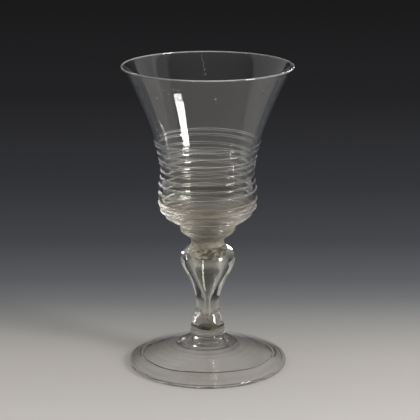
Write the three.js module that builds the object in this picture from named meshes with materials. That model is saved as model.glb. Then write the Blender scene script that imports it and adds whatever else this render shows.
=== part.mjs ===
// Stemmed drinking glass: a blown bell bowl wound with a glass trail, a collar and a plugged neck,
// a hollow baluster stem, a knop and a conical foot with a folded rim. Millimetres, +Z up,
// with the origin on the table under the middle of the foot.
import * as THREE from "three";

// Fused joints: each gather of glass stops this far from the one that it is joined to
const SEAM = 0.3;

// Foot
const FOOT_RADIUS = 43.9;
const FOOT_HEIGHT = 16.3;
const FOOT_SEAT_RADIUS = 9;
const FOOT_RIM_THICKNESS = 2.3;
const FOOT_RIM_ROUND = 0.8;
const FOOT_WALL = 1.5;
const FOOT_CROWN_THICKNESS = 1.9;
const FOLD_WIDTH = 10.1;
const FOLD_EDGE_ROUND = 0.5;
const RESTING_WIDTH = 1.8;

// Pontil mark, the broken glass left under the middle of the foot
const PONTIL_RADIUS = 3.8;
const PONTIL_EDGE_RADIUS = 3;
const PONTIL_DISH_RADIUS = 1.6;
const PONTIL_DEPTH = 1.1;
const PONTIL_HOLLOW = 0.6;

// Boss, the domed stub on the foot over which the knop is joined
const BOSS_RADIUS = 3.8;
const BOSS_SIDE = 2.9;
const BOSS_DOME = 2.4;

// Knop
const KNOP_HEIGHT = 13.2;
const KNOP_BASE_RADIUS = 9.95;
const KNOP_BASE_ROUND = 1.4;
const KNOP_TOP_RADIUS = 6.7;
const KNOP_CHANNEL_DEPTH = 5.6;

// Baluster stem and the tear-shaped hollow in it, which starts to narrow a drop under the plug's end
const STEM_LENGTH = 38.1;
const STEM_FOOT_RADIUS = 6.55;
const STEM_SLIM_RADIUS = 6.35;
const STEM_SLIM_HEIGHT = 4.5;
const STEM_WIDEST_RADIUS = 15.1;
const STEM_SHOULDER_HEIGHT = 8.7;
const STEM_TOP_RADIUS = 9.2;
const CHANNEL_RADIUS = 1.15;
const CHANNEL_HEIGHT = 6;
const TEAR_RADIUS = 8.5;
const TEAR_DROP = 0.6;

// Neck and the plug under it that closes the hollow
const NECK_HEIGHT = 3.6;
const NECK_WAIST_HEIGHT = 1.8;
const NECK_WAIST_RADIUS = 8.7;
const NECK_TOP_RADIUS = 9.4;
const PLUG_LENGTH = 7.6;
const PLUG_ROOT_RADIUS = 7.6;
const PLUG_END_RADIUS = 8.5;
const PLUG_END_ROUND = 0.7;

// Collar
const COLLAR_HEIGHT = 7.7;
const COLLAR_FOOT_RADIUS = 9.5;
const COLLAR_RADIUS = 15.3;
const COLLAR_WIDEST_HEIGHT = 5.4;
const COLLAR_TOP_RADIUS = 15;

// Bowl
const BOWL_HEIGHT = 87.6;
const BOWL_SEAT_RADIUS = 14.8;
const BULGE_RADIUS = 26.75;
const BULGE_HEIGHT = 13.6;
const WAIST_RADIUS = 25.4;
const WAIST_HEIGHT = 28.9;
const RIM_RADIUS = 46.6;
const BOWL_WALL = 1.9;
const LIP_WALL = 1.2;
const FLOOR_THICKNESS = 4.2;

// Trail wound round the bowl: how far up the wall its first turn starts, the climb of each turn
// after that, measured along the wall, the bearing of both its ends, and its D-shaped section
const TRAIL_START = 3.4;
const TRAIL_CLIMBS = [3.5, 3.5, 4.4, 4.6, 5.6, 4.5, 3.9, 3.9, 3.7, 2.2, 4.7, 3.8, 1.7];
const TRAIL_BEARING = -70;
const TRAIL_WIDTH = 1.2;
const TRAIL_STAND = 0.5;

// Fineness of the faceted faces
const SIDES = 40;
const STEM_SIDES = 32;
const PONTIL_SIDES = 18;
const TRAIL_STEPS = 32;

const glass = { roughness: 0.06, metalness: 0, transparent: true, opacity: 0.4 };
const bowlGlass = new THREE.MeshStandardMaterial({ ...glass, color: 0xd9dad2 });
const trailGlass = new THREE.MeshStandardMaterial({ ...glass, color: 0xe6e5dd });
const stemGlass = new THREE.MeshStandardMaterial({ ...glass, color: 0xcfd2c2 });
const footGlass = new THREE.MeshStandardMaterial({ ...glass, color: 0xcac9bb });
const roughGlass = new THREE.MeshStandardMaterial({ ...glass, color: 0xc6c2a4, roughness: 0.6 });

const at = (radius, height) => new THREE.Vector2(radius, height);

// A direction in the outline's plane, leaning outwards from straight up by an angle in degrees.
function lean(degrees) {
  const angle = THREE.MathUtils.degToRad(degrees);
  return at(Math.sin(angle), Math.cos(angle));
}

// A cubic stretch of outline between two points, with the direction that it leaves and arrives in.
// Each pull is the length of a handle as a share of the distance between the points.
function stretch(from, leaving, to, arriving, leavingPull, arrivingPull) {
  const span = from.distanceTo(to);
  const leavingHandle = from.clone().addScaledVector(leaving, leavingPull * span);
  const arrivingHandle = to.clone().addScaledVector(arriving, -arrivingPull * span);
  return new THREE.CubicBezierCurve(from, leavingHandle, arrivingHandle, to);
}

// A quarter or half round between two angles in degrees, turning clockwise.
function round(centre, across, up, fromDegrees, toDegrees) {
  const { degToRad } = THREE.MathUtils;
  return new THREE.EllipseCurve(
    centre.x, centre.y, across, up, degToRad(fromDegrees), degToRad(toDegrees), true,
  );
}

// The solid swept by an outline about the Z axis.
function turned(outline, sides) {
  const kept = outline.filter((p, i) => i === 0 || p.distanceTo(outline[i - 1]) > 1e-6);
  return new THREE.LatheGeometry(kept, sides).rotateX(Math.PI / 2);
}

function piece(name, geometry, material, height) {
  const mesh = new THREE.Mesh(geometry, material);
  mesh.name = name;
  mesh.position.z = height;
  return mesh;
}

// The dome of the foot's boss, from the axis out, grown by a clearance to make the knop's socket.
function bossDome(clearance) {
  return round(at(0, BOSS_SIDE), BOSS_RADIUS + clearance, BOSS_DOME, 90, 0).getPoints(5);
}

// Foot: a cone with a boss on top, its rim folded under and resting on a narrow flat ring
const rimInner = FOOT_RADIUS - FOOT_RIM_ROUND;
const foldRadius = FOOT_RADIUS - FOLD_WIDTH;
const footBrow = stretch(
  at(FOOT_SEAT_RADIUS, FOOT_HEIGHT), lean(124), at(rimInner, FOOT_RIM_THICKNESS), lean(114), 0.35, 0.28,
);
const footSlope = footBrow.getPoints(12);

// Height of the top face of the foot at a radius.
function footTopAt(radius) {
  const after = footSlope.findIndex((p) => p.x >= radius);
  const [low, high] = [footSlope[after - 1], footSlope[after]];
  return THREE.MathUtils.mapLinear(radius, low.x, high.x, low.y, high.y);
}

function makeFoot() {
  const crown = FOOT_HEIGHT - FOOT_CROWN_THICKNESS;
  const ceiling = footTopAt(foldRadius) - FOOT_WALL;
  const foldUnder = ceiling - FOOT_RIM_THICKNESS / 2;
  const hollow = stretch(
    at(foldRadius, ceiling), lean(-68), at(PONTIL_RADIUS, crown), lean(-68), 0.35, 0.35,
  );
  const outline = [
    at(0, crown),
    at(PONTIL_RADIUS, crown),
    ...hollow.getPoints(6).reverse(),
    at(foldRadius, foldUnder + FOLD_EDGE_ROUND),
    at(foldRadius + FOLD_EDGE_ROUND, foldUnder),
    at(rimInner - RESTING_WIDTH, 0),
    ...round(at(rimInner, FOOT_RIM_THICKNESS / 2), FOOT_RIM_ROUND, FOOT_RIM_THICKNESS / 2, 90, -90)
      .getPoints(4)
      .reverse(),
    ...footSlope.toReversed(),
    at(BOSS_RADIUS, FOOT_HEIGHT),
    ...bossDome(0).reverse().map((p) => p.add(at(0, FOOT_HEIGHT))),
  ];
  return piece("foot", turned(outline, SIDES), footGlass, 0);
}

// Pontil mark: a dished disc of broken glass under the crown of the foot
function makePontilMark() {
  const outline = [
    at(0, -PONTIL_HOLLOW),
    at(PONTIL_DISH_RADIUS, -PONTIL_HOLLOW),
    at(PONTIL_EDGE_RADIUS, -PONTIL_DEPTH),
    at(PONTIL_RADIUS, -PONTIL_DEPTH / 2),
    at(PONTIL_RADIUS - SEAM, 0),
    at(0, 0),
  ];
  const seat = FOOT_HEIGHT - FOOT_CROWN_THICKNESS - SEAM;
  return piece("pontil_mark", turned(outline, PONTIL_SIDES), roughGlass, seat);
}

// Knop: a bell that carries the stem, with a socket for the foot's boss under it and the end of the
// stem's channel in its top
function makeKnop(height) {
  const roundCentre = at(KNOP_BASE_RADIUS - KNOP_BASE_ROUND, KNOP_BASE_ROUND);
  const baseRound = round(roundCentre, KNOP_BASE_ROUND, KNOP_BASE_ROUND, 0, -90);
  const bell = stretch(
    at(KNOP_BASE_RADIUS, KNOP_BASE_ROUND), lean(-9), at(KNOP_TOP_RADIUS, KNOP_HEIGHT), lean(-20), 0.14, 0.75,
  );
  const channelEnd = KNOP_HEIGHT - KNOP_CHANNEL_DEPTH;
  const outline = [
    ...bossDome(SEAM),
    at(BOSS_RADIUS + SEAM, 0),
    ...baseRound.getPoints(4).reverse(),
    ...bell.getPoints(7),
    at(CHANNEL_RADIUS, KNOP_HEIGHT),
    at(CHANNEL_RADIUS, channelEnd),
    at(0, channelEnd),
  ];
  return piece("base_knop", turned(outline, STEM_SIDES), stemGlass, height);
}

// Stem: an inverted baluster round a tear of air that narrows to a channel; the plug fills its mouth
function makeStem(height) {
  const slim = at(STEM_SLIM_RADIUS, STEM_SLIM_HEIGHT);
  const widest = at(STEM_WIDEST_RADIUS, STEM_LENGTH - STEM_SHOULDER_HEIGHT);
  const plugEnd = STEM_LENGTH + SEAM - PLUG_LENGTH;
  const swell = stretch(slim, lean(0), widest, lean(0), 0.38, 0.15);
  const shoulder = stretch(widest, lean(0), at(STEM_TOP_RADIUS, STEM_LENGTH), lean(-50), 0.65, 0.15);
  const taper = stretch(
    at(TEAR_RADIUS, plugEnd - TEAR_DROP), lean(-165), at(CHANNEL_RADIUS, CHANNEL_HEIGHT), lean(180), 0.3, 0.2,
  );
  const outline = [
    at(CHANNEL_RADIUS, 0),
    at(STEM_FOOT_RADIUS, 0),
    ...swell.getPoints(9),
    ...shoulder.getPoints(6),
    at(PLUG_ROOT_RADIUS + SEAM, STEM_LENGTH),
    at(PLUG_END_RADIUS + SEAM, plugEnd + PLUG_END_ROUND),
    ...taper.getPoints(10),
    at(CHANNEL_RADIUS, 0),
  ];
  return piece("baluster_stem", turned(outline, STEM_SIDES), stemGlass, height);
}

// Neck: a short solid waist over the stem, with a plug that widens downwards in the stem's mouth
function makeNeck(height) {
  const plugEnd = at(PLUG_END_RADIUS - PLUG_END_ROUND, PLUG_END_ROUND - PLUG_LENGTH);
  const waist = new THREE.QuadraticBezierCurve(
    at(STEM_TOP_RADIUS, 0), at(NECK_WAIST_RADIUS, NECK_WAIST_HEIGHT), at(NECK_TOP_RADIUS, NECK_HEIGHT),
  );
  const outline = [
    at(0, -PLUG_LENGTH),
    ...round(plugEnd, PLUG_END_ROUND, PLUG_END_ROUND, 0, -90).getPoints(3).reverse(),
    at(PLUG_ROOT_RADIUS, 0),
    ...waist.getPoints(4),
    at(0, NECK_HEIGHT),
  ];
  return piece("neck_plug", turned(outline, STEM_SIDES), roughGlass, height);
}

// Collar: a cushion that flares up from the neck to carry the bowl
function makeCollar(height) {
  const widest = at(COLLAR_RADIUS, COLLAR_WIDEST_HEIGHT);
  const flare = stretch(at(COLLAR_FOOT_RADIUS, 0), lean(60), widest, lean(0), 0.62, 0.2);
  const brow = stretch(widest, lean(0), at(COLLAR_TOP_RADIUS, COLLAR_HEIGHT), lean(-60), 0.5, 0.3);
  const outline = [at(0, 0), ...flare.getPoints(6), ...brow.getPoints(3), at(0, COLLAR_HEIGHT)];
  return piece("bowl_collar", turned(outline, STEM_SIDES), stemGlass, height);
}

// Bowl: the same bell outline outside and in, a wall apart, with a rounded lip and a thick floor
const lipCentre = at(RIM_RADIUS - LIP_WALL / 2, BOWL_HEIGHT - LIP_WALL / 2);
const bulge = at(BULGE_RADIUS, BULGE_HEIGHT);
const base = stretch(at(BOWL_SEAT_RADIUS, 0), lean(66), bulge, lean(0), 0.72, 0.24);

// The bell's two upper stretches, moved in by a wall at the bulge and waist and by another at the rim.
function bell(wall, rimWall) {
  const widest = at(BULGE_RADIUS - wall, BULGE_HEIGHT);
  const waist = at(WAIST_RADIUS - wall, WAIST_HEIGHT);
  const rim = at(RIM_RADIUS - rimWall, lipCentre.y);
  return [
    stretch(widest, lean(0), waist, lean(0), 0.63, 0.31),
    stretch(waist, lean(0), rim, lean(42), 0.27, 0.06),
  ];
}

const outerWall = new THREE.CurvePath();
outerWall.curves.push(base, ...bell(0, 0));

function makeBowl() {
  const [outerWaist, outerFlare] = bell(0, 0);
  const [innerWaist, innerFlare] = bell(BOWL_WALL, LIP_WALL);
  const floor = stretch(
    at(0, FLOOR_THICKNESS), lean(90), at(BULGE_RADIUS - BOWL_WALL, BULGE_HEIGHT), lean(0), 0.62, 0.2,
  );
  const outline = [
    at(0, 0),
    ...base.getPoints(7),
    ...outerWaist.getPoints(5),
    ...outerFlare.getPoints(9),
    ...round(lipCentre, LIP_WALL / 2, LIP_WALL / 2, 180, 0).getPoints(4).reverse(),
    ...innerFlare.getPoints(8).reverse(),
    ...innerWaist.getPoints(4).reverse(),
    ...floor.getPoints(7).reverse(),
  ];
  return piece("bowl", turned(outline, SIDES), bowlGlass, 0);
}

// The trail's centre line: it climbs the outer wall of the bowl turn by turn, just off the glass.
class Trail extends THREE.Curve {
  constructor(wall, start, climbs, standoff) {
    super();
    this.wall = wall;
    this.length = wall.getLength();
    this.marks = climbs.reduce((marks, climb) => [...marks, marks.at(-1) + climb], [start]);
    this.turns = climbs.length;
    this.standoff = standoff;
    this.arcLengthDivisions = this.turns * TRAIL_STEPS * 2;
  }

  // Distance up the wall after a number of turns, on a smooth line through the marks.
  climbed(turn) {
    const k = Math.min(Math.floor(turn), this.turns - 1);
    const mark = (i) => this.marks[THREE.MathUtils.clamp(i, 0, this.turns)];
    const slope = (i) => (mark(i + 1) - mark(i - 1)) / (i > 0 && i < this.turns ? 2 : 1);
    const t = turn - k;
    const [t2, t3] = [t * t, t * t * t];
    return (
      (2 * t3 - 3 * t2 + 1) * mark(k) +
      (t3 - 2 * t2 + t) * slope(k) +
      (3 * t2 - 2 * t3) * mark(k + 1) +
      (t3 - t2) * slope(k + 1)
    );
  }

  // The outward direction of the wall beside the trail, and the trail's own point.
  place(t) {
    const turn = t * this.turns;
    const angle = THREE.MathUtils.degToRad(TRAIL_BEARING + turn * 360);
    const share = this.climbed(turn) / this.length;
    const spot = this.wall.getPoint(share);
    const along = this.wall.getTangent(share);
    const across = at(along.y, -along.x);
    spot.addScaledVector(across, this.standoff);
    const outward = new THREE.Vector3(Math.cos(angle) * across.x, Math.sin(angle) * across.x, across.y);
    const point = new THREE.Vector3(Math.cos(angle) * spot.x, Math.sin(angle) * spot.x, spot.y);
    return { outward, point };
  }

  getPoint(t, target = new THREE.Vector3()) {
    return target.copy(this.place(t).point);
  }

  // The section keeps its flat back to the wall, so its frames follow the wall's outward direction.
  computeFrenetFrames(segments) {
    const frames = { tangents: [], normals: [], binormals: [] };
    for (let i = 0; i <= segments; i += 1) {
      const t = this.getUtoTmapping(i / segments);
      const tangent = this.getTangent(t);
      const binormal = new THREE.Vector3().crossVectors(tangent, this.place(t).outward).normalize();
      frames.tangents.push(tangent);
      frames.normals.push(new THREE.Vector3().crossVectors(binormal, tangent));
      frames.binormals.push(binormal);
    }
    return frames;
  }
}

// Trail: a D-shaped cord of glass along that line
function makeTrail() {
  const trail = new Trail(outerWall, TRAIL_START, TRAIL_CLIMBS, SEAM);
  const section = new THREE.Shape();
  section.absellipse(0, 0, TRAIL_STAND, TRAIL_WIDTH / 2, -Math.PI / 2, Math.PI / 2);
  const geometry = new THREE.ExtrudeGeometry(section, {
    steps: trail.turns * TRAIL_STEPS,
    curveSegments: 2,
    bevelEnabled: false,
    extrudePath: trail,
  });
  return piece("bowl_trail", geometry, trailGlass, 0);
}

// The pieces stand on each other, a seam apart
const knopSeat = FOOT_HEIGHT + SEAM;
const stemSeat = knopSeat + KNOP_HEIGHT + SEAM;
const neckSeat = stemSeat + STEM_LENGTH + SEAM;
const collarSeat = neckSeat + NECK_HEIGHT + SEAM;
const bowlSeat = collarSeat + COLLAR_HEIGHT + SEAM;

const bowlGroup = new THREE.Group();
bowlGroup.position.z = bowlSeat;
bowlGroup.add(makeBowl(), makeTrail());

const goblet = new THREE.Group();
goblet.add(
  makeFoot(),
  makePontilMark(),
  makeKnop(knopSeat),
  makeStem(stemSeat),
  makeNeck(neckSeat),
  makeCollar(collarSeat),
  bowlGroup,
);

export default goblet;
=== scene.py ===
"""A stemmed drinking glass of clear hand-blown glass, dressed for its portrait.

Each gather of glass is one closed mesh: a bell bowl wound with a trail, a tooled collar, a neck whose
rough plug closes the stem, a hollow baluster stem, a bell knop, a conical foot with a folded rim and the
pontil mark under it. Fused gathers meet at faces that bend no light, so the whole reads as one glass.
Outlines are drawn in millimetres, radius against height, and become metres in the meshes.
"""

import logging
import math
from dataclasses import dataclass, field
from enum import Enum, IntEnum
from functools import partial

import bpy
import numpy as np
from mathutils import Matrix


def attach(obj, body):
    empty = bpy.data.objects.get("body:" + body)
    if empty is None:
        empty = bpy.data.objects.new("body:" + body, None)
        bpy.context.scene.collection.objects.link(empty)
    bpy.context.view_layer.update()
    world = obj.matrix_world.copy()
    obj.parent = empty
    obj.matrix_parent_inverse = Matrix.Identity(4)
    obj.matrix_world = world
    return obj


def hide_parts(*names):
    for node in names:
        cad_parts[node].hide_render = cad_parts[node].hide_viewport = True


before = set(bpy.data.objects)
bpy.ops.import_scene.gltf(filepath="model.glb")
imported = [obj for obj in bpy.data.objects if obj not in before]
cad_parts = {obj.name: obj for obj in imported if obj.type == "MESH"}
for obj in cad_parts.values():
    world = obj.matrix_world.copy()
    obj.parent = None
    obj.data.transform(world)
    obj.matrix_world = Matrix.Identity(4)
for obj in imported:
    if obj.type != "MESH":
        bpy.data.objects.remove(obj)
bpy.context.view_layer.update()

log = logging.getLogger("stemmed_glass")

Array = np.ndarray
Pair = tuple[float, float]
Colour = tuple[float, float, float]
Thing = bpy.types.Object
Material = bpy.types.Material
Socket = bpy.types.NodeSocket

MM = 0.001
# Fused faces stay this hairline apart, so that light meets them one after the other
HAIR = 0.02
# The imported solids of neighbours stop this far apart, and the skins here close the gap
SEAM = 0.3
HALF_SEAM = SEAM / 2
# Height over its seat of a stem gather's fused underside
UNDER = HAIR - HALF_SEAM
# Edges that turn by more than this, in degrees, are shaded sharp
CREASE = 38.0
# Steps round the axis of the wide pieces and of the stem's pieces
WIDE_STEPS = 360
STEM_STEPS = 256


class Slot(Enum):
    """The finishes that the record names."""

    BOWL = "bowl_glass"
    TRAIL = "trail_glass"
    STEM = "stem_glass"
    ROUGH = "rough_glass"
    FOOT = "foot_glass"


class Face(IntEnum):
    """What a stretch of a gather's skin is: open to the air, or fused to its neighbour."""

    OPEN = 0
    FUSED = 1
    ROUGH = 2


# Outlines


def at(radius: float, height: float) -> Array:
    """A point of an outline."""
    return np.array([radius, height], dtype=float)


def lean(degrees: float) -> Array:
    """A unit direction that leans outwards from straight up by an angle."""
    angle = math.radians(degrees)
    return at(math.sin(angle), math.cos(angle))


def stretch(start: Array, leaving: float, end: Array, arriving: float, pulls: Pair, count: int) -> Array:
    """A cubic stretch of outline, at even steps of its parameter.

    Each point is the start, two handles and the end, weighted by the four terms of (s + t) cubed.

    Args:
        start: first point.
        leaving: lean of the line at the first point, in degrees.
        end: last point.
        arriving: its lean at the last point.
        pulls: length of each handle as a share of the distance between the points.
        count: number of points.

    Returns:
        The points, one row each.
    """
    span = np.linalg.norm(end - start)
    first = start + lean(leaving) * pulls[0] * span
    second = end - lean(arriving) * pulls[1] * span
    t = np.linspace(0, 1, count)[:, None]
    s = 1 - t
    return s**3 * start + 3 * s**2 * t * first + 3 * s * t**2 * second + t**3 * end


def arc(centre: Array, across: float, up: float, start: float, end: float, count: int) -> Array:
    """Part of an ellipse: centre plus (across * cos, up * sin) of angles in degrees.

    Args:
        centre: middle of the ellipse.
        across: half its width.
        up: half its height.
        start: first angle.
        end: last angle.
        count: number of points.

    Returns:
        The points, one row each.
    """
    angle = np.radians(np.linspace(start, end, count))
    return centre + np.column_stack([across * np.cos(angle), up * np.sin(angle)])


def line(start: Array, end: Array, count: int) -> Array:
    """Evenly spaced points on a straight stretch."""
    return start + np.linspace(0, 1, count)[:, None] * (end - start)


def joined(*runs: Array) -> Array:
    """One outline from runs and single points, where neighbours may share an end point."""
    outline = np.vstack(runs)
    return outline[np.append(True, np.linalg.norm(np.diff(outline, axis=0), axis=1) > 1e-6)]


def outward(outline: Array) -> Array:
    """Unit normals on the right of an outline that is walked upwards, away from the axis."""
    along = np.gradient(outline, axis=0)
    return along[:, ::-1] * (1, -1) / np.linalg.norm(along, axis=1, keepdims=True)


def eased(value: Array, low: float, rise: float, high: float, fall: float) -> Array:
    """A share that climbs from 0 at low within a rise, and sinks to 0 at high within a fall."""
    return np.clip((value - low) / rise, 0, 1) * np.clip((high - value) / fall, 0, 1)


def hump(outline: Array) -> Array:
    """A half sine along an outline's points: 0 at both ends and 1 half way."""
    return np.sin(np.linspace(0, math.pi, len(outline)))[:, None]


def swept(radius: Array, bearing: Array, height: Array) -> Array:
    """Points at a distance from the axis, a bearing in radians and a height."""
    return np.stack([radius * np.cos(bearing), radius * np.sin(bearing), height], axis=-1)


# Meshes


def entered(name: str, data: bpy.types.ID) -> Thing:
    """Puts something new in the scene, at the origin.

    Args:
        name: the object's name.
        data: its mesh, lamp or lens.

    Returns:
        The object.
    """
    thing = bpy.data.objects.new(name, data)
    bpy.context.scene.collection.objects.link(thing)
    return thing


@dataclass
class Skin:
    """Patches of surface that are welded into one closed mesh.

    Its steps go round the axis, and outlines are drawn from the height of its seat.
    """

    steps: int = WIDE_STEPS
    seat: float = 0.0
    points: list[Array] = field(default_factory=list)
    quads: list[Array] = field(default_factory=list)
    marks: list[Array] = field(default_factory=list)
    count: int = 0

    @property
    def bearing(self) -> Array:
        """Evenly spaced bearings round the axis in radians, starting where the trail does."""
        return math.radians(BowlOutline.trail_bearing) + np.arange(self.steps) * 2 * math.pi / self.steps

    def patch(
        self, grid: Array, marks: Array | int, shift: int = 0,
        round_rows: bool = False, round_columns: bool = True,
    ) -> None:
        """Adds a grid of quads.

        Quad (j, i) has the corners (j, i), (j, i+1), (j+1, i+1) and (j+1, i). Where the columns close
        on themselves, the last one is joined to the first, shift rows higher, as on a screw.

        Args:
            grid: points in millimetres, rows by columns by 3.
            marks: the kind of face of each row of quads, or of all.
            shift: rows that one way round climbs.
            round_rows: whether the last row joins the first.
            round_columns: whether the last column joins the first.
        """
        rows, columns = grid.shape[:2]
        index = np.arange(rows * columns).reshape(rows, columns)
        if round_rows:
            index = np.vstack([index, index[:1]])
        low, high = index[:-1], index[1:]
        kinds = np.broadcast_to(marks, len(low))
        quads = [np.stack([low[:, :-1], low[:, 1:], high[:, 1:], high[:, :-1]], axis=-1).reshape(-1, 4)]
        self.marks.append(np.repeat(kinds, columns - 1))
        if round_columns:
            left, right = slice(0, len(low) - shift), slice(shift, None)
            quads.append(np.column_stack([low[left, -1], low[right, 0], high[right, 0], high[left, -1]]))
            self.marks.append(kinds[left])
        self.points.append(grid.reshape(-1, 3))
        self.quads += [quad + self.count for quad in quads]
        self.count += rows * columns

    def turned(
        self, outline: Array, marks: Array | int = Face.OPEN,
        bumps: Array | float = 0.0, shift: Array | float = 0.0,
    ) -> None:
        """Adds the surface that an outline sweeps about the axis.

        Args:
            outline: radius and height over the seat of each row.
            marks: the kind of face between each two rows, or of all.
            bumps: how far each point is pushed out along the outline's normal.
            shift: how far each point is moved straight away from the axis.
        """
        raised = outline + at(0, self.seat)
        normal = outward(raised)
        lift = np.broadcast_to(bumps, (len(raised), self.steps))
        radius = raised[:, :1] + normal[:, :1] * lift + shift
        height = raised[:, 1:] + normal[:, 1:] * lift
        self.patch(swept(radius, self.bearing, height), marks)

    def ripple(self, along: Array, seed: int, most_turns: int, shortest: float, waves: int = 9) -> Array:
        """A soft unevenness of hand-worked glass: a sum of waves round and along a surface.

        Each wave is cos(turns * bearing + along / length + phase), from a seeded draw.

        Args:
            along: place of each row along the surface, in millimetres.
            seed: of the draw.
            most_turns: the most waves in a round.
            shortest: length of the shortest wave along the surface.
            waves: how many.

        Returns:
            Heights of about -1 to 1, rows by steps.
        """
        draw = np.random.default_rng(seed)
        turns = draw.integers(1, most_turns + 1, waves)
        pitch = draw.uniform(-1, 1, waves) * 2 * math.pi / shortest
        phase = draw.uniform(0, 2 * math.pi, waves)
        total = np.zeros((len(along), self.steps))
        for turn, rise, begin in zip(turns, pitch, phase):
            total = total + np.cos(turn * self.bearing + rise * along + begin)
        return total / math.sqrt(waves)

    def welded(self, name: str) -> Thing:
        """Merges points that lie on each other, drops empty faces and makes the object.

        Args:
            name: the piece's name.

        Returns:
            The new object, at the origin, in metres.
        """
        points = np.vstack(self.points)
        quads = np.vstack(self.quads)
        marks = np.concatenate(self.marks)
        key = np.round(points, 4) + 0.0
        _, first, back = np.unique(key, axis=0, return_index=True, return_inverse=True)
        points = points[first]
        quads = back.reshape(-1)[quads]
        repeated = quads == np.roll(quads, -1, axis=1)
        crossed = (quads[:, 0] == quads[:, 2]) | (quads[:, 1] == quads[:, 3])
        repeats = repeated.sum(axis=1)
        whole = (repeats == 0) & ~crossed
        three = (repeats == 1) & ~crossed
        faces = quads[whole].tolist() + quads[three][~repeated[three]].reshape(-1, 3).tolist()
        mesh = bpy.data.meshes.new(name)
        mesh.from_pydata((points * MM).tolist(), [], faces, shade_flat=False)
        kinds = np.concatenate([marks[whole], marks[three]])
        mesh.polygons.foreach_set("material_index", kinds.astype(np.int32))
        mesh.validate()
        mesh.set_sharp_from_angle(angle=math.radians(CREASE))
        return entered(name, mesh)


# Finishes


class Nodes:
    """A short hand for building the node tree of a material or a world."""

    def __init__(self, owner: Material | bpy.types.World) -> None:
        """Empties the owner's tree."""
        self.owner = owner
        owner.use_nodes = True
        self.tree = owner.node_tree
        self.tree.nodes.clear()

    def add(self, kind: str, inputs: dict | None = None, **settings: object) -> bpy.types.Node:
        """Adds a node.

        Args:
            kind: its type, without the word that all shader nodes start with.
            inputs: fixed values or other nodes' outputs for its sockets, by name or number.
            settings: its own properties.

        Returns:
            The node.
        """
        node = self.tree.nodes.new("ShaderNode" + kind)
        for name, value in settings.items():
            setattr(node, name, value)
        for key, value in (inputs or {}).items():
            if isinstance(value, Socket):
                self.tree.links.new(value, node.inputs[key])
            else:
                node.inputs[key].default_value = value
        return node

    def chain(self, kind: str, *values: object, **settings: object) -> Socket:
        """The output of a node whose sockets are fed in their order."""
        return self.add(kind, dict(enumerate(values)), **settings).outputs[0]

    def math(self, operation: str, *values: object) -> Socket:
        """A Math node on numbers or sockets."""
        return self.chain("Math", *values, operation=operation)

    def output(self, shader: Socket) -> Material:
        """Ends a material's tree on its surface."""
        self.add("OutputMaterial", {"Surface": shader})
        return self.owner

    def noise(self, scale: float, detail: float, squash: float = 1.0) -> Socket:
        """A noise on the piece's own coordinates, finer along the axis where squash is over 1."""
        spot = self.add("Mapping", {0: self.add("TexCoord").outputs["Object"], "Scale": (1, 1, squash)})
        return self.add("TexNoise", {0: spot.outputs[0], "Scale": scale, "Detail": detail}).outputs["Fac"]

    def place(self, kind: str, axis: str) -> Socket:
        """One coordinate of a kind of place."""
        return self.add("SeparateXYZ", {"Vector": self.add("TexCoord").outputs[kind]}).outputs[axis]

    def between(self, value: Socket, begins: float, full: float) -> Socket:
        """A smooth share that goes from 0 where the value is one number to 1 at another."""
        ends = {"Value": value, "From Min": begins, "From Max": full}
        return self.add("MapRange", ends, interpolation_type="SMOOTHSTEP").outputs["Result"]

    def mixed(self, share: Socket, first: Colour, second: Colour) -> Socket:
        """The colour between two.

        Args:
            share: of the second, held between 0 and 1.
            first: colour where the share is 0.
            second: colour where it is 1.

        Returns:
            The colour's socket.
        """
        ramp = self.add("ValToRGB", {"Fac": share})
        for stop, colour in zip(ramp.color_ramp.elements, (first, second)):
            stop.color = (*colour, 1)
        return ramp.outputs["Color"]

    def bumps(self, height: Socket, distance: float) -> Socket:
        """A normal that leans as the slope of a height does."""
        return self.add("Bump", {"Distance": distance, "Height": height}).outputs["Normal"]


@dataclass(frozen=True)
class Stain:
    """A cast and a haze that deepen down the glass, as in thick or crowded gathers."""

    colour: Colour
    begins: float
    full: float
    haze: float = 0.0


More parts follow.
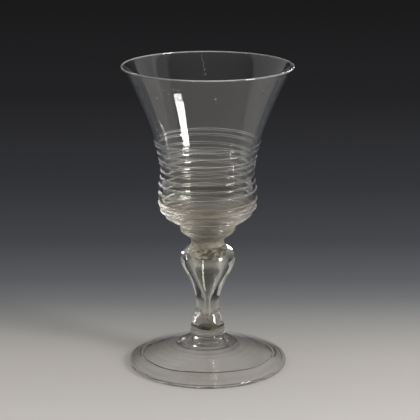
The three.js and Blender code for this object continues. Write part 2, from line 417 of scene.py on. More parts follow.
@dataclass(frozen=True)
class ClearGlass:
    """Clear glass with a faint tint and a soft ripple in its surface.

    Lamps shine through it, less where they graze it, so that it casts the soft grey shadow with
    darker edges that thin glass casts.
    """

    name: str
    tint: Colour
    shade: float
    stain: Stain | None = None
    # Above this height the glass is less clear, so its near-white tint shows as a pale line along the lip:
    # partly wear, partly a painted highlight
    worn_and_lit_above: float | None = None
    wear_and_highlight: float = 0.22
    wear_and_highlight_fade: float = 0.0006
    bending: float = 1.5
    ripple_scale: float = 160.0
    ripple_squash: float = 2.2
    ripple_height: float = 0.00002
    edge_sharpness: float = 3.0

    def made(self) -> Material:
        """Builds the material.

        Returns:
            The material.
        """
        nodes = Nodes(bpy.data.materials.new(self.name))
        height = nodes.place("Object", "Z")
        ripple = nodes.noise(self.ripple_scale, 2.0, self.ripple_squash)
        looks = {
            "Base Color": (*self.tint, 1),
            "Transmission Weight": 1.0,
            "IOR": self.bending,
            "Roughness": 0.0,
            "Normal": nodes.bumps(ripple, self.ripple_height),
        }
        if self.stain:
            depth = nodes.between(height, self.stain.begins, self.stain.full)
            looks["Base Color"] = nodes.mixed(depth, self.tint, self.stain.colour)
            looks["Roughness"] = nodes.math("MULTIPLY", depth, self.stain.haze)
        # A pale, less clear rim: partly wear, partly a painted highlight
        if self.worn_and_lit_above:
            worn_and_lit = nodes.between(height, self.worn_and_lit_above, self.worn_and_lit_above + self.wear_and_highlight_fade)
            looks["Transmission Weight"] = nodes.math("MULTIPLY_ADD", worn_and_lit, -self.wear_and_highlight, 1.0)
        edge = nodes.math("POWER", nodes.add("LayerWeight").outputs["Facing"], self.edge_sharpness)
        passing = nodes.math("MULTIPLY", nodes.math("SUBTRACT", 1.0, edge), self.shade)
        shadow = nodes.chain("BsdfTransparent", passing)
        rays = nodes.add("LightPath")
        lit = nodes.math("MAXIMUM", rays.outputs["Is Shadow Ray"], rays.outputs["Is Diffuse Ray"])
        glass = nodes.add("BsdfPrincipled", looks)
        return nodes.output(nodes.chain("MixShader", lit, glass.outputs[0], shadow))


@dataclass(frozen=True)
class BrokenGlass:
    """Glass broken or badly fused: a frosted, crumbled face, mottled from cream to olive."""

    name: str
    pale: Colour = (0.74, 0.69, 0.58)
    dark: Colour = (0.26, 0.24, 0.15)
    mottle_scale: float = 420.0
    mottle_contrast: float = 5.0
    mottle_shift: float = -2.15
    grain_scale: float = 1100.0
    grain_height: float = 0.00035
    grain_roughness: float = 0.5
    least_roughness: float = 0.15
    clearness: float = 0.55
    bending: float = 1.3
    # paler_left lightens the colour towards the left side: painted light from that side
    paler_left: float = 0.0
    left: Pair = (-0.001, -0.007)

    def made(self) -> Material:
        """Builds the material.

        Returns:
            The material.
        """
        nodes = Nodes(bpy.data.materials.new(self.name))
        mottle = nodes.noise(self.mottle_scale, 5.0)
        patches = nodes.math("MULTIPLY_ADD", mottle, self.mottle_contrast, self.mottle_shift)
        # Paler towards the left: painted light
        if self.paler_left:
            left = nodes.between(nodes.place("Object", "X"), *self.left)
            patches = nodes.math("MULTIPLY_ADD", left, self.paler_left, patches)
        grain = nodes.noise(self.grain_scale, 4.0)
        glass = nodes.add("BsdfPrincipled", {
            "Base Color": nodes.mixed(patches, self.dark, self.pale),
            "Transmission Weight": self.clearness,
            "IOR": self.bending,
            "Roughness": nodes.math("MULTIPLY_ADD", grain, self.grain_roughness, self.least_roughness),
            "Normal": nodes.bumps(grain, self.grain_height),
        })
        return nodes.output(glass.outputs[0])


@dataclass(frozen=True)
class FusedFace:
    """Where two gathers are one: nothing shows."""

    name: str = "fused_face"

    def made(self) -> Material:
        """Builds the material."""
        nodes = Nodes(bpy.data.materials.new(self.name))
        return nodes.output(nodes.add("BsdfTransparent").outputs[0])


def finishes() -> dict[str, Material]:
    """Makes every material of the glass.

    Returns:
        The materials by name.
    """
    crowded = Stain(colour=(0.85, 0.80, 0.70), begins=0.106, full=0.088, haze=0.14)
    collar_stain = Stain(colour=(0.56, 0.505, 0.395), begins=0.083, full=0.079, haze=0.06)
    # The knop's glass is tinted darker towards its base
    knop_darker_below = Stain(colour=(0.86, 0.83, 0.75), begins=0.026, full=0.020)
    kinds = (
        ClearGlass("bowl_glass", tint=(0.97, 0.97, 0.955), shade=0.95, stain=crowded,
            worn_and_lit_above=0.1672, ripple_height=0.000005),
        ClearGlass("trail_glass", tint=(0.97, 0.97, 0.955), shade=0.95, stain=crowded),
        ClearGlass("stem_glass", tint=(0.87, 0.865, 0.80), shade=0.75),
        ClearGlass("collar_glass", tint=(0.93, 0.93, 0.885), shade=0.75, stain=collar_stain),
        ClearGlass("knop_glass", tint=(0.93, 0.93, 0.885), shade=0.6, stain=knop_darker_below),
        ClearGlass("foot_glass", tint=(0.975, 0.96, 0.93), shade=0.9, ripple_scale=90,
            ripple_height=0.00005),
        BrokenGlass("rough_glass"),
        BrokenGlass("neck_glass", pale=(0.50, 0.455, 0.36), dark=(0.33, 0.30, 0.22), clearness=0.75,
             grain_height=0.00008),
        # The plug's end is mottled, and paler on its left side as painted light
        BrokenGlass("plug_glass", pale=(0.62, 0.55, 0.42), dark=(0.07, 0.07, 0.03), clearness=0.45,
             mottle_scale=700, paler_left=0.8),
        # Near-black rough glass on the knop's dome and crease: partly a dark joint, partly painted shade
        BrokenGlass("joint_and_shade_glass", pale=(0.13, 0.11, 0.065), dark=(0.055, 0.045, 0.025),
             clearness=0.2, mottle_scale=150, grain_height=0.00005),
        BrokenGlass("pontil_glass", pale=(0.44, 0.41, 0.34), dark=(0.22, 0.20, 0.15),
             clearness=0.6, grain_height=0.0001),
        # Near-black rough glass in the fold's crease under the foot: painted shade
        BrokenGlass("fold_painted_shade", pale=(0.20, 0.17, 0.12), dark=(0.05, 0.045, 0.03),
             clearness=0.3, mottle_scale=150, grain_height=0.00005),
        FusedFace(),
    )
    return {kind.name: kind.made() for kind in kinds}


@dataclass
class Dresser:
    """Gives pieces their finishes and their place in the frame."""

    finishes: dict[str, Material]

    def dress(self, piece: Thing, node: str, glass: str, rough: str = "rough_glass") -> None:
        """Puts a piece in the place of its solid.

        Args:
            piece: the new piece, whose faces are marked by Face.
            node: the solid that it stands for.
            glass: the material of its open faces.
            rough: the material of its rough faces.
        """
        for name in (glass, "fused_face", rough):
            piece.data.materials.append(self.finishes[name])
        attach(piece, "root")
        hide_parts(node)
        log.info("%s: %d faces, in the place of %s", piece.name, len(piece.data.polygons), node)


# The bowl and the trail wound round it


@dataclass
class BowlOutline:
    """The bell's outline, outside and in, and the line of the trail on it."""

    trail_bearing = -70.0

    seat: float = 80.4
    height: float = 87.6
    seat_radius: float = 14.8
    bulge: Pair = (26.75, 13.6)
    waist: Pair = (25.4, 28.9)
    rim_radius: float = 46.6
    wall: float = 1.9
    lip_wall: float = 1.2
    floor: float = 4.2
    trail_start: float = 3.4
    climbs: tuple[float, ...] = (3.5, 3.5, 4.4, 4.6, 5.6, 4.5, 3.9, 3.9, 3.7, 2.2, 4.7, 3.8, 1.7)
    trail_width: float = 1.2
    trail_stand: float = 0.5
    # How far the net of the outer wall reaches past the trail
    above_trail: float = 3.0
    # How many turns each end of the trail takes to come to a point
    first_point: float = 0.05
    last_point: float = 0.12
    unevenness: float = 0.12

    def __post_init__(self) -> None:
        """Works out the outer wall as a fine line that can be read by distance."""
        base = stretch(at(self.seat_radius, 0), 66, at(*self.bulge), 0, (0.72, 0.24), 600)
        self.outer = joined(base, *self.bell(0, 0, 900)) + at(0, self.seat)
        steps = np.linalg.norm(np.diff(self.outer, axis=0), axis=1)
        self.distance = np.concatenate([[0], np.cumsum(steps)])
        self.length = self.distance[-1]
        self.marks = self.trail_start + np.concatenate([[0], np.cumsum(self.climbs)])
        self.turns = len(self.climbs)
        self.net_top = self.marks[-1] + self.above_trail

    @property
    def lip_height(self) -> float:
        """Height over the seat of the middle of the lip's round."""
        return self.height - self.lip_wall / 2

    def bell(self, wall: float, rim_wall: float, count: int) -> list[Array]:
        """The two upper stretches of the bell, moved in by a wall at the waist and one at the rim.

        Args:
            wall: how far in at the bulge and the waist.
            rim_wall: how far in at the rim.
            count: points on each stretch.

        Returns:
            Bulge to waist, and waist to rim.
        """
        bulge, waist = at(*self.bulge) - at(wall, 0), at(*self.waist) - at(wall, 0)
        rim = at(self.rim_radius - rim_wall, self.lip_height)
        return [
            stretch(bulge, 0, waist, 0, (0.63, 0.31), count),
            stretch(waist, 0, rim, 42, (0.27, 0.06), count),
        ]

    def wall_at(self, distance: Array) -> tuple[Array, Array]:
        """Points and outward normals of the outer wall.

        Args:
            distance: how far up the wall from the seat's edge.

        Returns:
            Two arrays that hold radius and height last.
        """
        columns = *self.outer.T, *outward(self.outer).T
        values = np.stack([np.interp(distance, self.distance, column) for column in columns], axis=-1)
        return values[..., :2], values[..., 2:]

    def climbed(self, turn: Array) -> Array:
        """Distance up the wall of the trail's middle after a number of turns.

        A cubic line runs through the marks, with the slope between each one's neighbours, and goes
        straight on past both ends.

        Args:
            turn: turns since the trail's start.

        Returns:
            Distances of the same shape.
        """
        k = np.clip(np.floor(turn), 0, self.turns - 1).astype(int)
        slopes = np.gradient(self.marks)
        t = np.clip(turn, 0, self.turns) - k
        t2, t3 = t**2, t**3
        inside = (
            (2 * t3 - 3 * t2 + 1) * self.marks[k] + (t3 - 2 * t2 + t) * slopes[k]
            + (3 * t2 - 2 * t3) * self.marks[k + 1] + (t3 - t2) * slopes[k + 1]
        )
        past = np.minimum(turn, 0) + np.maximum(turn - self.turns, 0)
        return inside + past * self.trail_start

    def half_width(self, turn: Array) -> Array:
        """Half the trail's width: uneven by two sines, and drawn to a point at both ends.

        Args:
            turn: turns since the trail's start.

        Returns:
            Half widths of the same shape, nothing past the ends.
        """
        drawn = np.sqrt(eased(turn, 0, self.first_point, self.turns, self.last_point))
        uneven = 1 + self.unevenness * np.sin(turn * 5.3 + 1.0) * np.sin(turn * 17.1)
        return self.trail_width / 2 * drawn * uneven


@dataclass(frozen=True)
class SeedPatch:
    """Air bubbles in the wall: how many, the spans of bearing and height, and their half lengths."""

    count: int
    bearing: Pair
    up: Pair
    half_length: Pair


@dataclass
class WoundBowl:
    """The blown bowl, its outer wall netted along the trail so that the two share their edges.

    Rows 0, 1 and 2 of each turn of the net are the trail's lower edge, middle and upper edge, and the
    others share out the wall up to the next turn.
    """

    outline: BowlOutline
    rows: int = 7
    spare_turns: int = 2
    trail_rounds: int = 9
    inner_ripple: float = 0.03
    seeds: tuple[SeedPatch, ...] = (
        SeedPatch(18, (0, 360), (40, 84), (0.15, 0.3)),
        SeedPatch(18, (91.0, 94.5), (74, 85.5), (0.22, 0.5)),
        SeedPatch(7, (-122, -117), (78, 82), (0.2, 0.4)),
        SeedPatch(1, (-46, -46), (78.4, 78.4), (0.95, 0.95)),
        SeedPatch(1, (-84, -84), (76.8, 76.8), (0.8, 0.8)),
        SeedPatch(1, (-130.6, -130.6), (75.5, 75.5), (0.8, 0.8)),
    )

    def winding(self) -> tuple[Array, Array]:
        """Distances up the wall of the net's points, and the kind of each row of its quads.

        Each is the distance of the trail's middle after so many turns, plus the row's place between this
        turn and the next, held between the seat's edge and the top.

        Returns:
            Rows by columns of distances, and one kind for each row of quads.
        """
        shape = self.outline
        row = np.arange((shape.turns + 2 * self.spare_turns) * self.rows + 1)
        turn = row // self.rows - self.spare_turns
        place = row % self.rows
        along = turn[:, None] + np.arange(WIDE_STEPS) / WIDE_STEPS
        low, high = shape.climbed(along), shape.climbed(along + 1)
        half, next_half = shape.half_width(along), shape.half_width(along + 1)
        share = np.clip((place - 2) / (self.rows - 2), 0, 1)[:, None]
        upper_edge = low + half
        between = upper_edge + share * (high - next_half - upper_edge)
        sides = np.minimum(place, 2)[:, None] - 1
        distance = np.where(place[:, None] < 2, low + sides * half, between)
        covered = (place < 2) & (turn >= 0) & (turn < shape.turns)
        kinds = np.where(covered, Face.FUSED, Face.OPEN)[:-1]
        return np.clip(distance, 0, shape.net_top), kinds

    def blown(self) -> Thing:
        """Builds the bowl: net, flare, lip, inner wall, floor and fused seat.

        Returns:
            The piece.
        """
        shape = self.outline
        skin = Skin()
        seat = at(0, shape.seat)
        skin.turned(line(seat, at(shape.seat_radius, shape.seat), 6), Face.FUSED)
        distance, kinds = self.winding()
        spots, _ = shape.wall_at(distance)
        skin.patch(swept(spots[..., 0], skin.bearing, spots[..., 1]), kinds, shift=self.rows)
        lip_middle = at(shape.rim_radius - shape.lip_wall / 2, shape.seat + shape.lip_height)
        flare, _ = shape.wall_at(np.linspace(shape.net_top, shape.length, 30))
        lip = arc(lip_middle, shape.lip_wall / 2, shape.lip_wall / 2, 0, 180, 12)
        skin.turned(joined(flare, lip))
        inner_waist, inner_flare = shape.bell(shape.wall, shape.lip_wall, 40)
        floor = stretch(at(0, shape.floor), 90, inner_waist[0], 0, (0.62, 0.2), 34)
        inside = joined(floor, inner_waist, inner_flare)[::-1] + seat
        up = inside[:, 1:] - shape.seat
        fade = eased(up, 0, 6, shape.lip_height, 6)
        # The wall is worked most at the bulge, behind the crowded turns of the trail
        worked = 0.02 + np.exp(-(((up - 13) / 8) ** 2))
        ripple = skin.ripple(up, seed=11, most_turns=14, shortest=7.0)
        skin.turned(inside, bumps=-self.inner_ripple * fade * worked * ripple)
        self.add_seeds(skin, inside)
        return skin.welded("blown_bowl")

    def add_seeds(self, skin: Skin, inside: Array) -> None:
        """Adds small egg-shaped bubbles midway through the wall.

        Each is centre + size * (cos(lat) cos(lon), cos(lat) sin(lon), sin(lat)). The latitude is walked
        downwards, which turns the faces to the air in the bubble.

        Args:
            skin: the bowl's skin.
            inside: the outline of the inner wall, from the lip down.
        """
        shape = self.outline
        draw = np.random.default_rng(29)
        lat = np.radians(np.linspace(90, -90, 7))[:, None]
        lon = np.radians(np.arange(10) * 36)
        for patch in self.seeds:
            for _ in range(patch.count):
                turn = math.radians(draw.uniform(*patch.bearing))
                height = shape.seat + draw.uniform(*patch.up)
                half = draw.uniform(*patch.half_length)
                outer = np.interp(height, shape.outer[:, 1], shape.outer[:, 0])
                inner = np.interp(height, inside[::-1, 1], inside[::-1, 0])
                middle = (outer + inner) / 2
                away = middle + min(0.5 * half, 0.42) * np.cos(lat) * np.cos(lon)
                aside = 0.7 * half * np.cos(lat) * np.sin(lon)
                up = height + half * np.sin(lat) + 0 * lon
                across = away * math.cos(turn) - aside * math.sin(turn)
                back = away * math.sin(turn) + aside * math.cos(turn)
                skin.patch(np.stack([across, back, up], axis=-1), Face.OPEN)

    def trail(self) -> Thing:
        """Carries a D-shaped section along the trail, its flat back on the net's rows 0, 1 and 2.

        Returns:
            The piece.
        """
        shape = self.outline
        turn = np.arange(shape.turns * WIDE_STEPS + 1) / WIDE_STEPS
        bearing = math.radians(shape.trail_bearing) + turn * 2 * math.pi
        middle, half = shape.climbed(turn), shape.half_width(turn)
        sweep = np.radians(np.linspace(0, 180, self.trail_rounds))
        across = np.concatenate([-np.cos(sweep), [0]])
        stand = np.concatenate([np.sin(sweep) ** 1.3, [0]])
        lump = 1 + 0.15 * np.sin(turn * 7.7) + 0.15 * np.sin(turn * 31 + 2)
        height = shape.trail_stand * (half / (shape.trail_width / 2)) * lump
        distance = middle + across[:, None] * half
        spots, normals = shape.wall_at(distance)
        spots = spots + normals * (HAIR + stand[:, None] * height)[..., None]
        kinds = np.where(np.arange(len(across)) < len(sweep) - 1, Face.OPEN, Face.FUSED)
        skin = Skin()
        grid = swept(spots[..., 0], bearing, spots[..., 1])
        skin.patch(grid, kinds, round_rows=True, round_columns=False)
        return skin.welded("wound_trail")


# The stem's gathers


@dataclass(frozen=True)
class Plug:
    """The glass that closes the stem's mouth, whose crumbled end is the ceiling of the hollow.

    Heights are under the seat of the neck.
    """

    root_radius: float = 7.6
    radius: float = 8.5
    length: float = 7.6
    end_round: float = 0.7

    def end(self) -> Array:
        """The outline of the crumbled end, from the axis out."""
        edge = arc(self.side()[0] - at(self.end_round, 0), self.end_round, self.end_round, -90, 0, 8)
        return joined(line(at(0, -self.length), edge[0], 20), edge)

    def side(self) -> Array:
        """The outline of the fused side, from the end up to the root."""
        return line(at(self.radius, self.end_round - self.length), at(self.root_radius, -HALF_SEAM), 10)


@dataclass
class Collar:
    """The cushion under the bowl, with the shallow grooves that the tool left round it."""

    seat: float = 72.4
    height: float = 7.7
    foot_radius: float = 9.5
    widest: Pair = (15.3, 5.4)
    top_radius: float = 15.0
    groove: float = 0.12
    groove_pitch: float = 1.25
    sway: float = 0.05

    def made(self) -> Thing:
        """Turns a flare and a brow about the axis, pushed out by a sine of the height and a ripple.

        Returns:
            The piece.
        """
        widest = at(*self.widest)
        flare = stretch(at(self.foot_radius, 0), 60, widest, 0, (0.62, 0.2), 40)
        brow = stretch(widest, 0, at(self.top_radius, self.height), -60, (0.5, 0.3), 14)
        side = joined(flare, brow)
        fade = hump(side) ** 0.5
        up = side[:, 1:]
        grooves = self.groove * fade * np.sin(up * 2 * math.pi / self.groove_pitch + 0.6)
        skin = Skin(STEM_STEPS, self.seat)
        sway = self.sway * fade * skin.ripple(up, seed=3, most_turns=3, shortest=9.0)
        under = line(at(0, UNDER), at(self.foot_radius, UNDER), 4)
        skin.turned(under, Face.FUSED)
        skin.turned(joined(under[-1], side[0]))
        skin.turned(side, bumps=grooves + sway)
        skin.turned(line(side[-1], at(0, self.height), 8), Face.FUSED)
        return skin.welded("tooled_collar")


@dataclass
class Neck:
    """The short waist under the collar, with the rough plug that hangs in the stem's mouth."""

    seat: float = 68.5
    height: float = 3.6
    foot_radius: float = 9.2
    waist: Pair = (8.7, 1.8)
    top_radius: float = 9.4
    crumb: float = 0.16
    plug: Plug = Plug()

    def made(self) -> Thing:
        """Turns the plug and a waist, a quadratic curve, about the axis, with a crumbled end.

        Returns:
            The piece.
        """
        end, side = self.plug.end(), self.plug.side()
        skin = Skin(STEM_STEPS, self.seat)
        crumbs = skin.ripple(end[:, :1], seed=5, most_turns=13, shortest=1.6, waves=24)
        fade = eased(end[:, :1], 0, 2, self.plug.radius, 1.5)
        foot = at(self.foot_radius, -HALF_SEAM)
        t = np.linspace(0, 1, 14)[:, None]
        bottom, middle, top = at(self.foot_radius, 0), at(*self.waist), at(self.top_radius, self.height)
        waist = (1 - t) ** 2 * bottom + 2 * t * (1 - t) * middle + t**2 * top
        skin.turned(end, Face.ROUGH, bumps=-self.crumb * np.abs(crumbs) * fade)
        skin.turned(joined(side, line(side[-1], foot, 4)), Face.FUSED)
        over = line(top + at(0, HALF_SEAM), at(0, self.height + HALF_SEAM), 5)
        skin.turned(joined(foot, waist, over[0]))
        skin.turned(over, Face.FUSED)
        return skin.welded("plugged_neck")


@dataclass
class Baluster:
    """The hollow stem: an inverted baluster round a tear of air that narrows to a channel."""

    seat: float = 30.1
    length: float = 38.1
    foot_radius: float = 6.55
    slim: Pair = (6.35, 4.5)
    widest: Pair = (15.1, 29.4)
    top_radius: float = 9.2
    channel_radius: float = 1.15
    channel_height: float = 6.0
    tear: Pair = (8.5, 30.2)
    taper_lean: float = -165.0
    taper_pulls: Pair = (0.3, 0.2)
    sway: float = 0.1
    waviness: float = 0.03
    even_below: float = 12.0
    plug: Plug = Plug()

    def made(self) -> Thing:
        """Turns the outer swell and the hollow's tear and taper about the axis, each with a ripple.

        Returns:
            The piece.
        """
        slim, widest, tear = at(*self.slim), at(*self.widest), at(*self.tear)
        top = at(self.top_radius, self.length)
        swell = stretch(slim, 0, widest, 0, (0.38, 0.15), 70)
        shoulder = stretch(widest, 0, top, -50, (0.65, 0.15), 36)
        root = at(self.foot_radius, UNDER)
        outer = joined(root, at(self.foot_radius, 0), swell, shoulder)
        bore = self.plug.side()[::-1] + at(HAIR, self.length + SEAM)
        bore[0, 1] = self.length
        channel = at(self.channel_radius, self.channel_height)
        tear_top = stretch(bore[-1], 172, tear, 180, (0.4, 0.4), 12)
        taper = stretch(tear, self.taper_lean, channel, 180, self.taper_pulls, 70)
        bottom = at(self.channel_radius, UNDER)
        skin = Skin(STEM_STEPS, self.seat)
        up = outer[:, 1:]
        calm = eased(up, 0, 5, self.length, 4)
        sway = skin.ripple(up, seed=8, most_turns=2, shortest=30.0, waves=5)
        skin.turned(line(bottom, root, 5), Face.FUSED)
        skin.turned(outer, bumps=self.sway * calm * sway)
        skin.turned(joined(line(top, bore[0], 5), bore), Face.FUSED)
        hollow = joined(tear_top, taper, line(channel, bottom, 6))
        up = hollow[:, 1:]
        calm = eased(up, self.even_below, 4, tear[1], 4)
        waves = skin.ripple(up, seed=31, most_turns=6, shortest=2.0, waves=16)
        skin.turned(hollow, bumps=self.waviness * calm * waves)
        return skin.welded("hollow_baluster")


@dataclass
class Knop:
    """The bell-shaped knop, with the blind end of the stem's channel in its top."""

    seat: float = 16.6
    height: float = 13.2
    base_radius: float = 9.95
    base_round: float = 1.4
    top_radius: float = 6.7
    channel_radius: float = 1.15
    channel_depth: float = 5.6
    boss_radius: float = 3.8
    boss_side: float = 2.9
    boss_dome: float = 2.4

    def boss(self) -> Array:
        """The outline of the dome on the foot's boss, from the axis out. It reaches up into the knop."""
        return arc(at(0, self.boss_side), self.boss_radius, self.boss_dome, 90, 0, 24)

    def made(self) -> Thing:
        """Turns a dome, a rounded crease, a bell and a blind channel about the axis.

        Returns:
            The piece.
        """
        base, top = at(self.base_radius, self.base_round), at(self.top_radius, self.height)
        bell = stretch(base, -9, top, -20, (0.14, 0.75), 60)
        crease = arc(base - at(self.base_round, 0), self.base_round, self.base_round, -80, 0, 8)
        lifted = top + at(0, HALF_SEAM)
        end = at(0, self.height - self.channel_depth + self.channel_radius)
        skin = Skin(STEM_STEPS, self.seat)
        root = at(crease[0, 0], UNDER)
        mouth = at(self.channel_radius, lifted[1])
        dome = self.boss() + at(0, UNDER)
        # The dome takes the near-black rough finish: partly a dark joint, partly painted shade under the
        # knop
        skin.turned(dome, Face.ROUGH)
        foot_of_dome = at(dome[-1, 0], UNDER)
        under = joined(line(dome[-1], foot_of_dome, 4), line(foot_of_dome, root, 5))
        skin.turned(under, Face.FUSED)
        # The crease under the bell's base takes the same finish: painted shade in the crease
        skin.turned(joined(root, crease[:4]), Face.ROUGH)
        skin.turned(joined(crease[3:], bell, lifted))
        skin.turned(line(lifted, mouth, 4), Face.FUSED)
        blind = arc(end, self.channel_radius, self.channel_radius, 0, -90, 8)
        skin.turned(joined(line(mouth, blind[0], 10), blind))
        return skin.welded("bell_knop")


# The foot


@dataclass
class FoldedFoot:
    """The conical foot, its rim folded under and resting on a narrow ring."""

    radius: float = 43.9
    height: float = 16.3
    seat_radius: float = 9.0
    rim_thickness: float = 2.3
    rim_round: float = 0.8
    wall: float = 1.5
    crown_thickness: float = 1.9
    fold_width: float = 10.1
    fold_sway: float = 2.0
    fold_round: float = 0.5
    resting_width: float = 1.8
    pontil_radius: float = 3.8
    pontil_ridge: float = 3.0
    pontil_dish: float = 1.6
    pontil_depth: float = 1.1
    pontil_hollow: float = 0.6
    pontil_crumb: float = 0.06
    tooling: float = 0.025

    def made(self) -> Thing:
        """Turns the cone's faces and the fold about the axis, the fold's edge swayed by cosines.

        Returns:
            The piece.
        """
        rim_inner = self.radius - self.rim_round
        seat = at(self.seat_radius, self.height)
        slope = stretch(seat, 124, at(rim_inner, self.rim_thickness), 114, (0.35, 0.28), 90)
        fold = self.radius - self.fold_width
        crown = self.height - self.crown_thickness
        ceiling = np.interp(fold, slope[:, 0], slope[:, 1]) - self.wall
        under = ceiling - self.rim_thickness / 2
        hollow = stretch(at(fold, ceiling), -68, at(self.pontil_radius, crown), -68, (0.35, 0.35), 60)
        middle = at(rim_inner, self.rim_thickness / 2)
        skin = Skin()
        # The fold comes in further at the front and the back than at the sides
        small = 0.12 * np.sin(5 * skin.bearing) + 0.1 * np.cos(9 * skin.bearing + 1)
        sway = self.fold_sway * (np.cos(2 * skin.bearing) + small)
        skin.turned(line(at(0, crown), at(self.pontil_radius, crown), 4), Face.FUSED)
        inside = hollow[::-1]
        reach = np.clip((inside[:, :1] - self.pontil_radius) / (fold - self.pontil_radius), 0, 1)
        skin.turned(inside, bumps=self.tooled(skin, inside), shift=sway * reach**2)
        rounding = at(fold + self.fold_round, under + self.fold_round)
        step = arc(rounding, self.fold_round, self.fold_round, 180, 215, 5)
        rest = at(rim_inner - self.resting_width, 0)
        edge = arc(middle, self.rim_round, self.rim_thickness / 2, -90, 90, 24)
        wall = joined(line(inside[-1], step[0], 4), step)
        # The fold's inner wall takes the near-black rough finish: painted shade in the crease
        skin.turned(wall, Face.ROUGH, shift=sway * self.fold_reach(wall, step, rest))
        roll = stretch(step[-1], 130, rest, 118, (0.4, 0.4), 30)
        low = joined(roll, edge[0])
        skin.turned(low, shift=sway * self.fold_reach(low, step, rest))
        skin.turned(edge)
        top = slope[::-1]
        skin.turned(top, bumps=self.tooled(skin, top, 2))
        boss = Knop().boss()[::-1] - at(HAIR, 0) + at(0, self.height)
        boss[-1, 0] = 0
        foot_of_boss = at(boss[0, 0], self.height)
        over = joined(line(seat, foot_of_boss, 4), line(foot_of_boss, boss[0], 4), boss)
        skin.turned(over, Face.FUSED)
        return skin.welded("folded_foot")

    def fold_reach(self, outline: Array, step: Array, rest: Array) -> Array:
        """The share of the fold's sway that each point takes: all at the step, none where the foot rests."""
        return np.clip((rest[0] - outline[:, :1]) / (rest[0] - step[-1, 0]), 0, 1)

    def tooled(self, skin: Skin, outline: Array, ahead: float = 0.0) -> Array:
        """Heights of the rings that the tool left, which die away at both ends of an outline."""
        rings = skin.ripple(outline[:, :1] + ahead, seed=21, most_turns=2, shortest=3.2, waves=8)
        return self.tooling * hump(outline) * rings

    def pontil(self) -> Thing:
        """Turns the mark that the pontil rod left, a dished disc of broken glass, about the axis.

        Returns:
            The piece.
        """
        skin = Skin(seat=self.height - self.crown_thickness - HAIR)
        dished, lowest = at(self.pontil_dish, -self.pontil_hollow), at(self.pontil_ridge, -self.pontil_depth)
        profile = joined(
            line(at(0, -self.pontil_hollow), dished, 8),
            stretch(dished, 95, lowest, 95, (0.4, 0.4), 10),
            stretch(lowest, 85, at(self.pontil_radius, 0), 10, (0.5, 0.4), 12),
        )
        crumbs = skin.ripple(profile[:, :1], seed=15, most_turns=17, shortest=2.4, waves=20)
        fade = eased(profile[:, :1], 0, 2, self.pontil_radius, 1)
        skin.turned(profile, Face.ROUGH, bumps=-self.pontil_crumb * np.abs(crumbs) * fade)
        skin.turned(line(profile[-1], at(0, 0), 4), Face.FUSED)
        return skin.welded("broken_pontil")


# The stage: floor, air, lamps and camera


@dataclass(frozen=True)
class Floor:
    """A plain pale floor whose tone falls away behind the glass into a dark backdrop: partly a graded paper,
    partly painted falloff of the light.
    """

    radius: float = 2.4
    rings: int = 60
    steps: int = 96
    near: float = -0.40
    far: float = 1.90
    # Distance behind the glass in metres, and the floor's tone there, which also paints the light's falloff
    tones: tuple[tuple[float, Colour], ...] = (
        (-0.40, (0.62, 0.60, 0.57)),
        (-0.08, (0.51, 0.485, 0.46)),
        (0.0, (0.425, 0.40, 0.375)),
        (0.035, (0.35, 0.335, 0.318)),
        (0.070, (0.262, 0.258, 0.252)),
        (0.107, (0.163, 0.165, 0.168)),
        (0.150, (0.104, 0.108, 0.118)),
        (0.241, (0.060, 0.062, 0.069)),
        (0.40, (0.037, 0.038, 0.043)),
        (0.76, (0.0205, 0.0205, 0.0225)),
        (1.90, (0.0112, 0.0112, 0.0115)),
    )

    def material(self) -> Material:
        """Builds a matt paper whose tone follows the distance behind the glass, partly painting the light's
        falloff.

        Returns:
            The material.
        """
        nodes = Nodes(bpy.data.materials.new("paper"))
        ends = {"Value": nodes.place("Object", "Y"), "From Min": self.near, "From Max": self.far}
        reach = nodes.add("MapRange", ends).outputs["Result"]
        # The far tones lie wide apart and the near ones close, so the ramp runs on a root
        ramp = nodes.add("ValToRGB", {"Fac": nodes.math("POWER", reach, 0.5)})
        stops = ramp.color_ramp.elements
        stops.remove(stops[-1])
        for number, (behind, tone) in enumerate(self.tones):
            place_on = math.sqrt((behind - self.near) / (self.far - self.near))
            stop = stops[0] if number == 0 else stops.new(place_on)
            stop.position = place_on
            stop.color = (*tone, 1)
        return nodes.output(nodes.chain("BsdfDiffuse", ramp.outputs["Color"]))

    def laid(self) -> None:
        """Makes the floor: a flat disc under the glass."""
        skin = Skin(self.steps)
        # Walked inwards, so that the disc faces up
        skin.turned(line(at(self.radius / MM, 0), at(0, 0), self.rings))
        disc = skin.welded("floor")
        disc.data.materials.append(self.material())


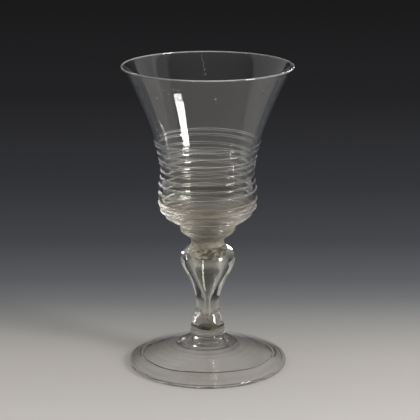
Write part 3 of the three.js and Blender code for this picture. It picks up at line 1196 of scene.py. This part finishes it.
@dataclass(frozen=True)
class Softbox:
    """A rectangular lamp that stands at a bearing and faces the glass.

    Its brightness is the tone that it shows in a mirror, where 1 is white.
    """

    name: str
    bearing: float
    lowest: float
    highest: float
    spread: float
    brightness: float
    away: float = 1.5
    aim_height: float = 0.13
    roll: float = 0.0
    on_floor: bool = True
    in_glass: bool = True

    def placed(self) -> None:
        """Builds the lamp and turns it to the glass."""
        middle = math.radians((self.lowest + self.highest) / 2)
        turn = math.radians(self.bearing)
        width = 2 * self.away * math.tan(math.radians(self.spread / 2))
        height = 2 * self.away * math.tan(math.radians((self.highest - self.lowest) / 2))
        lamp = bpy.data.lights.new(self.name, "AREA")
        lamp.shape = "RECTANGLE"
        lamp.size = width
        lamp.size_y = height
        # An even lamp of radiance L over an area A gives off pi * L * A watts
        lamp.energy = math.pi * self.brightness * width * height
        thing = entered(self.name, lamp)
        across = self.away * math.cos(middle)
        thing.location = (
            across * math.sin(turn), -across * math.cos(turn),
            self.aim_height + self.away * math.sin(middle),
        )
        tilted = Matrix.Rotation(turn, 3, "Z") @ Matrix.Rotation(math.pi / 2 - middle, 3, "X")
        thing.rotation_euler = (tilted @ Matrix.Rotation(math.radians(self.roll), 3, "Z")).to_euler()
        thing.visible_camera = False
        thing.visible_diffuse = self.on_floor
        thing.visible_glossy = thing.visible_transmission = self.in_glass


@dataclass(frozen=True)
class Studio:
    """The air round the glass: dark low behind it, a dim room in front and a pale ceiling."""

    behind: float = 0.012
    front: float = 0.135
    ceiling: float = 0.2
    high_behind: float = 0.12
    on_matt: float = 0.69
    # Spans of a direction's part away from the camera, and of its part up
    to_front: Pair = (0.3, -0.5)
    to_back: Pair = (-0.1, 0.3)
    to_ceiling: Pair = (0.35, 0.95)
    to_high_behind: Pair = (0.05, 0.5)

    def build(self) -> None:
        """Sets the world up. Matt surfaces get an even light, glass sees the room."""
        world = bpy.data.worlds.new("studio")
        bpy.context.scene.world = world
        world.cycles.sampling_method = "NONE"
        nodes = Nodes(world)
        back, up = nodes.place("Generated", "Y"), nodes.place("Generated", "Z")
        forward = nodes.between(back, *self.to_front)
        room = nodes.math("MULTIPLY_ADD", forward, self.front - self.behind, self.behind)
        room = nodes.math("MULTIPLY_ADD", nodes.between(up, *self.to_ceiling), self.ceiling, room)
        high = nodes.between(up, *self.to_high_behind), nodes.between(back, *self.to_back)
        room = nodes.math("MULTIPLY_ADD", nodes.math("MULTIPLY", *high), self.high_behind, room)
        seen = nodes.chain("Background", room)
        even = nodes.chain("Background", (self.on_matt, self.on_matt, self.on_matt, 1))
        matt = nodes.add("LightPath").outputs["Is Diffuse Ray"]
        nodes.add("OutputWorld", {"Surface": nodes.chain("MixShader", matt, seen, even)})

    def lamps(self) -> list[Softbox]:
        """The key light, seen in the glass and on the floor, and the pale boards beside the glass."""
        key = partial(Softbox, bearing=57.5, spread=15)
        board = partial(Softbox, lowest=-13, highest=58, on_floor=False)
        return [
            key("key_softbox", lowest=7.5, highest=29.5, brightness=24, roll=-12, on_floor=False),
            key("key_on_the_floor", lowest=6, highest=29, brightness=31, in_glass=False),
            board("left_board", bearing=-121, spread=56, brightness=0.34, away=0.32),
            board("right_board", bearing=118, spread=34, brightness=0.46, away=0.32),
            board("right_wall", bearing=89, spread=23, brightness=0.28, away=0.40),
        ]


@dataclass(frozen=True)
class Portrait:
    """The camera: a long lens that looks down on the glass from the front."""

    away: float = 0.8154
    height: float = 0.3090
    aside: float = 0.0013
    pitch: float = 15.19
    focal: float = 132.08
    sensor: float = 36.0

    def placed(self) -> None:
        """Builds the camera."""
        lens = bpy.data.cameras.new("portrait")
        lens.lens = self.focal
        lens.sensor_width = self.sensor
        camera = entered("portrait", lens)
        camera.location = (self.aside, -self.away, self.height)
        camera.rotation_euler = (math.radians(90 - self.pitch), 0, 0)
        bpy.context.scene.camera = camera


def set_up_render() -> None:
    """Leaves colours as they are and lets light take its many turns through the glass."""
    scene = bpy.context.scene
    scene.view_settings.view_transform = "Standard"
    cycles = scene.cycles
    cycles.max_bounces = 32
    cycles.transmission_bounces = 32
    cycles.glossy_bounces = 16
    cycles.transparent_max_bounces = 48
    cycles.sample_clamp_indirect = 30


def main() -> None:
    """Builds the glass from the bowl down, then its stage."""
    logging.basicConfig(level=logging.INFO, format="%(message)s")
    set_up_render()
    dresser = Dresser(finishes())
    bowl, foot = WoundBowl(BowlOutline()), FoldedFoot()
    dresser.dress(bowl.blown(), "bowl", "bowl_glass")
    dresser.dress(bowl.trail(), "bowl_trail", "trail_glass")
    dresser.dress(Collar().made(), "bowl_collar", "collar_glass")
    dresser.dress(Neck().made(), "neck_plug", "neck_glass", "plug_glass")
    dresser.dress(Baluster().made(), "baluster_stem", "stem_glass")
    dresser.dress(Knop().made(), "base_knop", "knop_glass", "joint_and_shade_glass")
    dresser.dress(foot.made(), "foot", "foot_glass", "fold_painted_shade")
    dresser.dress(foot.pontil(), "pontil_mark", "rough_glass", "pontil_glass")

    Floor().laid()
    studio = Studio()
    studio.build()
    for lamp in studio.lamps():
        lamp.placed()
    Portrait().placed()


if __name__ == "__main__":
    main()
